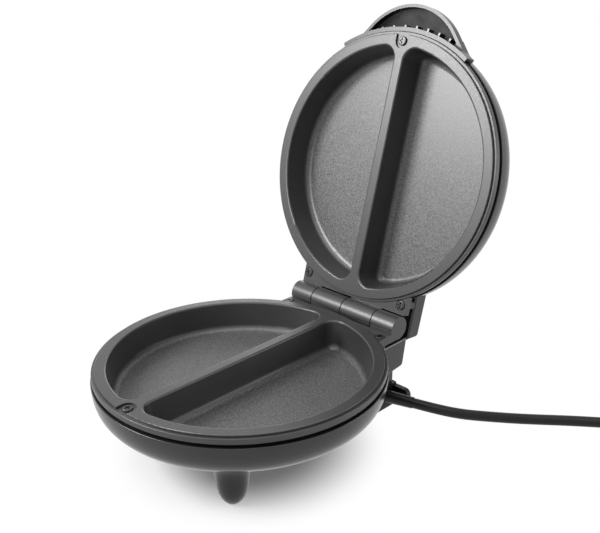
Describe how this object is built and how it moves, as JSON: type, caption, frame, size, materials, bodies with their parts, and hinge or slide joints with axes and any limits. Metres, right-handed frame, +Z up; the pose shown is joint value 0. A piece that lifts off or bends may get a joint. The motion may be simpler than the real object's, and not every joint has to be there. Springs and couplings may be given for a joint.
{
  "type": "electric omelette maker",
  "caption": "Countertop omelette maker with half-moon wells in round non-stick plates and a hinged lid, shown open, with its cord coiled.",
  "frame": {"origin": "middle of the footprint of the appliance without its cord, on the table it stands on", "axes": "+Z up, +Y from the front towards the hinge, +X to the right seen from the front"},
  "size_m": [0.4539, 0.3526, 0.2866],
  "materials": {
    "casing_plastic": "smooth dark charcoal moulding",
    "nonstick_plate": "cast, with a dark speckled non-stick coat",
    "dark_screws": "blackened",
    "heater_tube": "drawn tube",
    "sheet_steel": "bright sheet",
    "bakelite": "brown moulding",
    "wire_insulation": "pale glass-fibre sleeve",
    "leg_plastic": "smooth moulding",
    "foot_plastic": "fine satin moulding",
    "pad_rubber": "matt",
    "pin_steel": "ground pin",
    "cord_sheath": "satin",
    "cord_tie": "soft strap",
    "plug_plastic": "satin",
    "plug_pins": "plated",
    "handle_plastic": "polished black",
    "red_lens": "clear red",
    "green_lens": "clear green",
    "lamp_glass": "clear"
  },
  "bodies": {
    "base": {"base_casing": "casing_plastic", "base_plate": "nonstick_plate", "base_plate_screws": "dark_screws", "base_heater": "heater_tube", "base_heater_clips": "sheet_steel", "base_reflector": "sheet_steel", "thermostat": "bakelite", "thermal_fuse": "bakelite", "sensor_brackets": "sheet_steel", "base_terminal_block": "bakelite", "base_wiring": "wire_insulation", "front_leg_left": "leg_plastic", "front_leg_right": "leg_plastic", "leg_screws": "dark_screws", "rear_foot": "foot_plastic", "rear_foot_screws": "dark_screws", "foot_pads": "pad_rubber", "hinge_pin": "pin_steel", "strain_relief": "cord_sheath", "power_cord": "cord_sheath", "cord_coil": "cord_sheath", "cord_tail": "cord_sheath", "cord_tie": "cord_tie", "plug_body": "plug_plastic", "plug_pins": "plug_pins"},
    "lid": {"lid_casing": "casing_plastic", "lid_plate": "nonstick_plate", "lid_plate_screws": "dark_screws", "lid_heater": "heater_tube", "lid_heater_clips": "sheet_steel", "lid_reflector": "sheet_steel", "lid_handle": "handle_plastic", "handle_screws": "dark_screws", "power_lamp_lens": "red_lens", "ready_lamp_lens": "green_lens", "indicator_lamps": "lamp_glass", "lid_terminal_block": "bakelite", "lid_wiring": "wire_insulation"}
  },
  "joints": [
    {"name": "lid_hinge", "type": "hinge", "parent": "base", "child": "lid", "pos_m": [0, 0.062, 0.067], "axis": [1, 0, 0], "range_deg": [0, 105.6]}
  ]
}
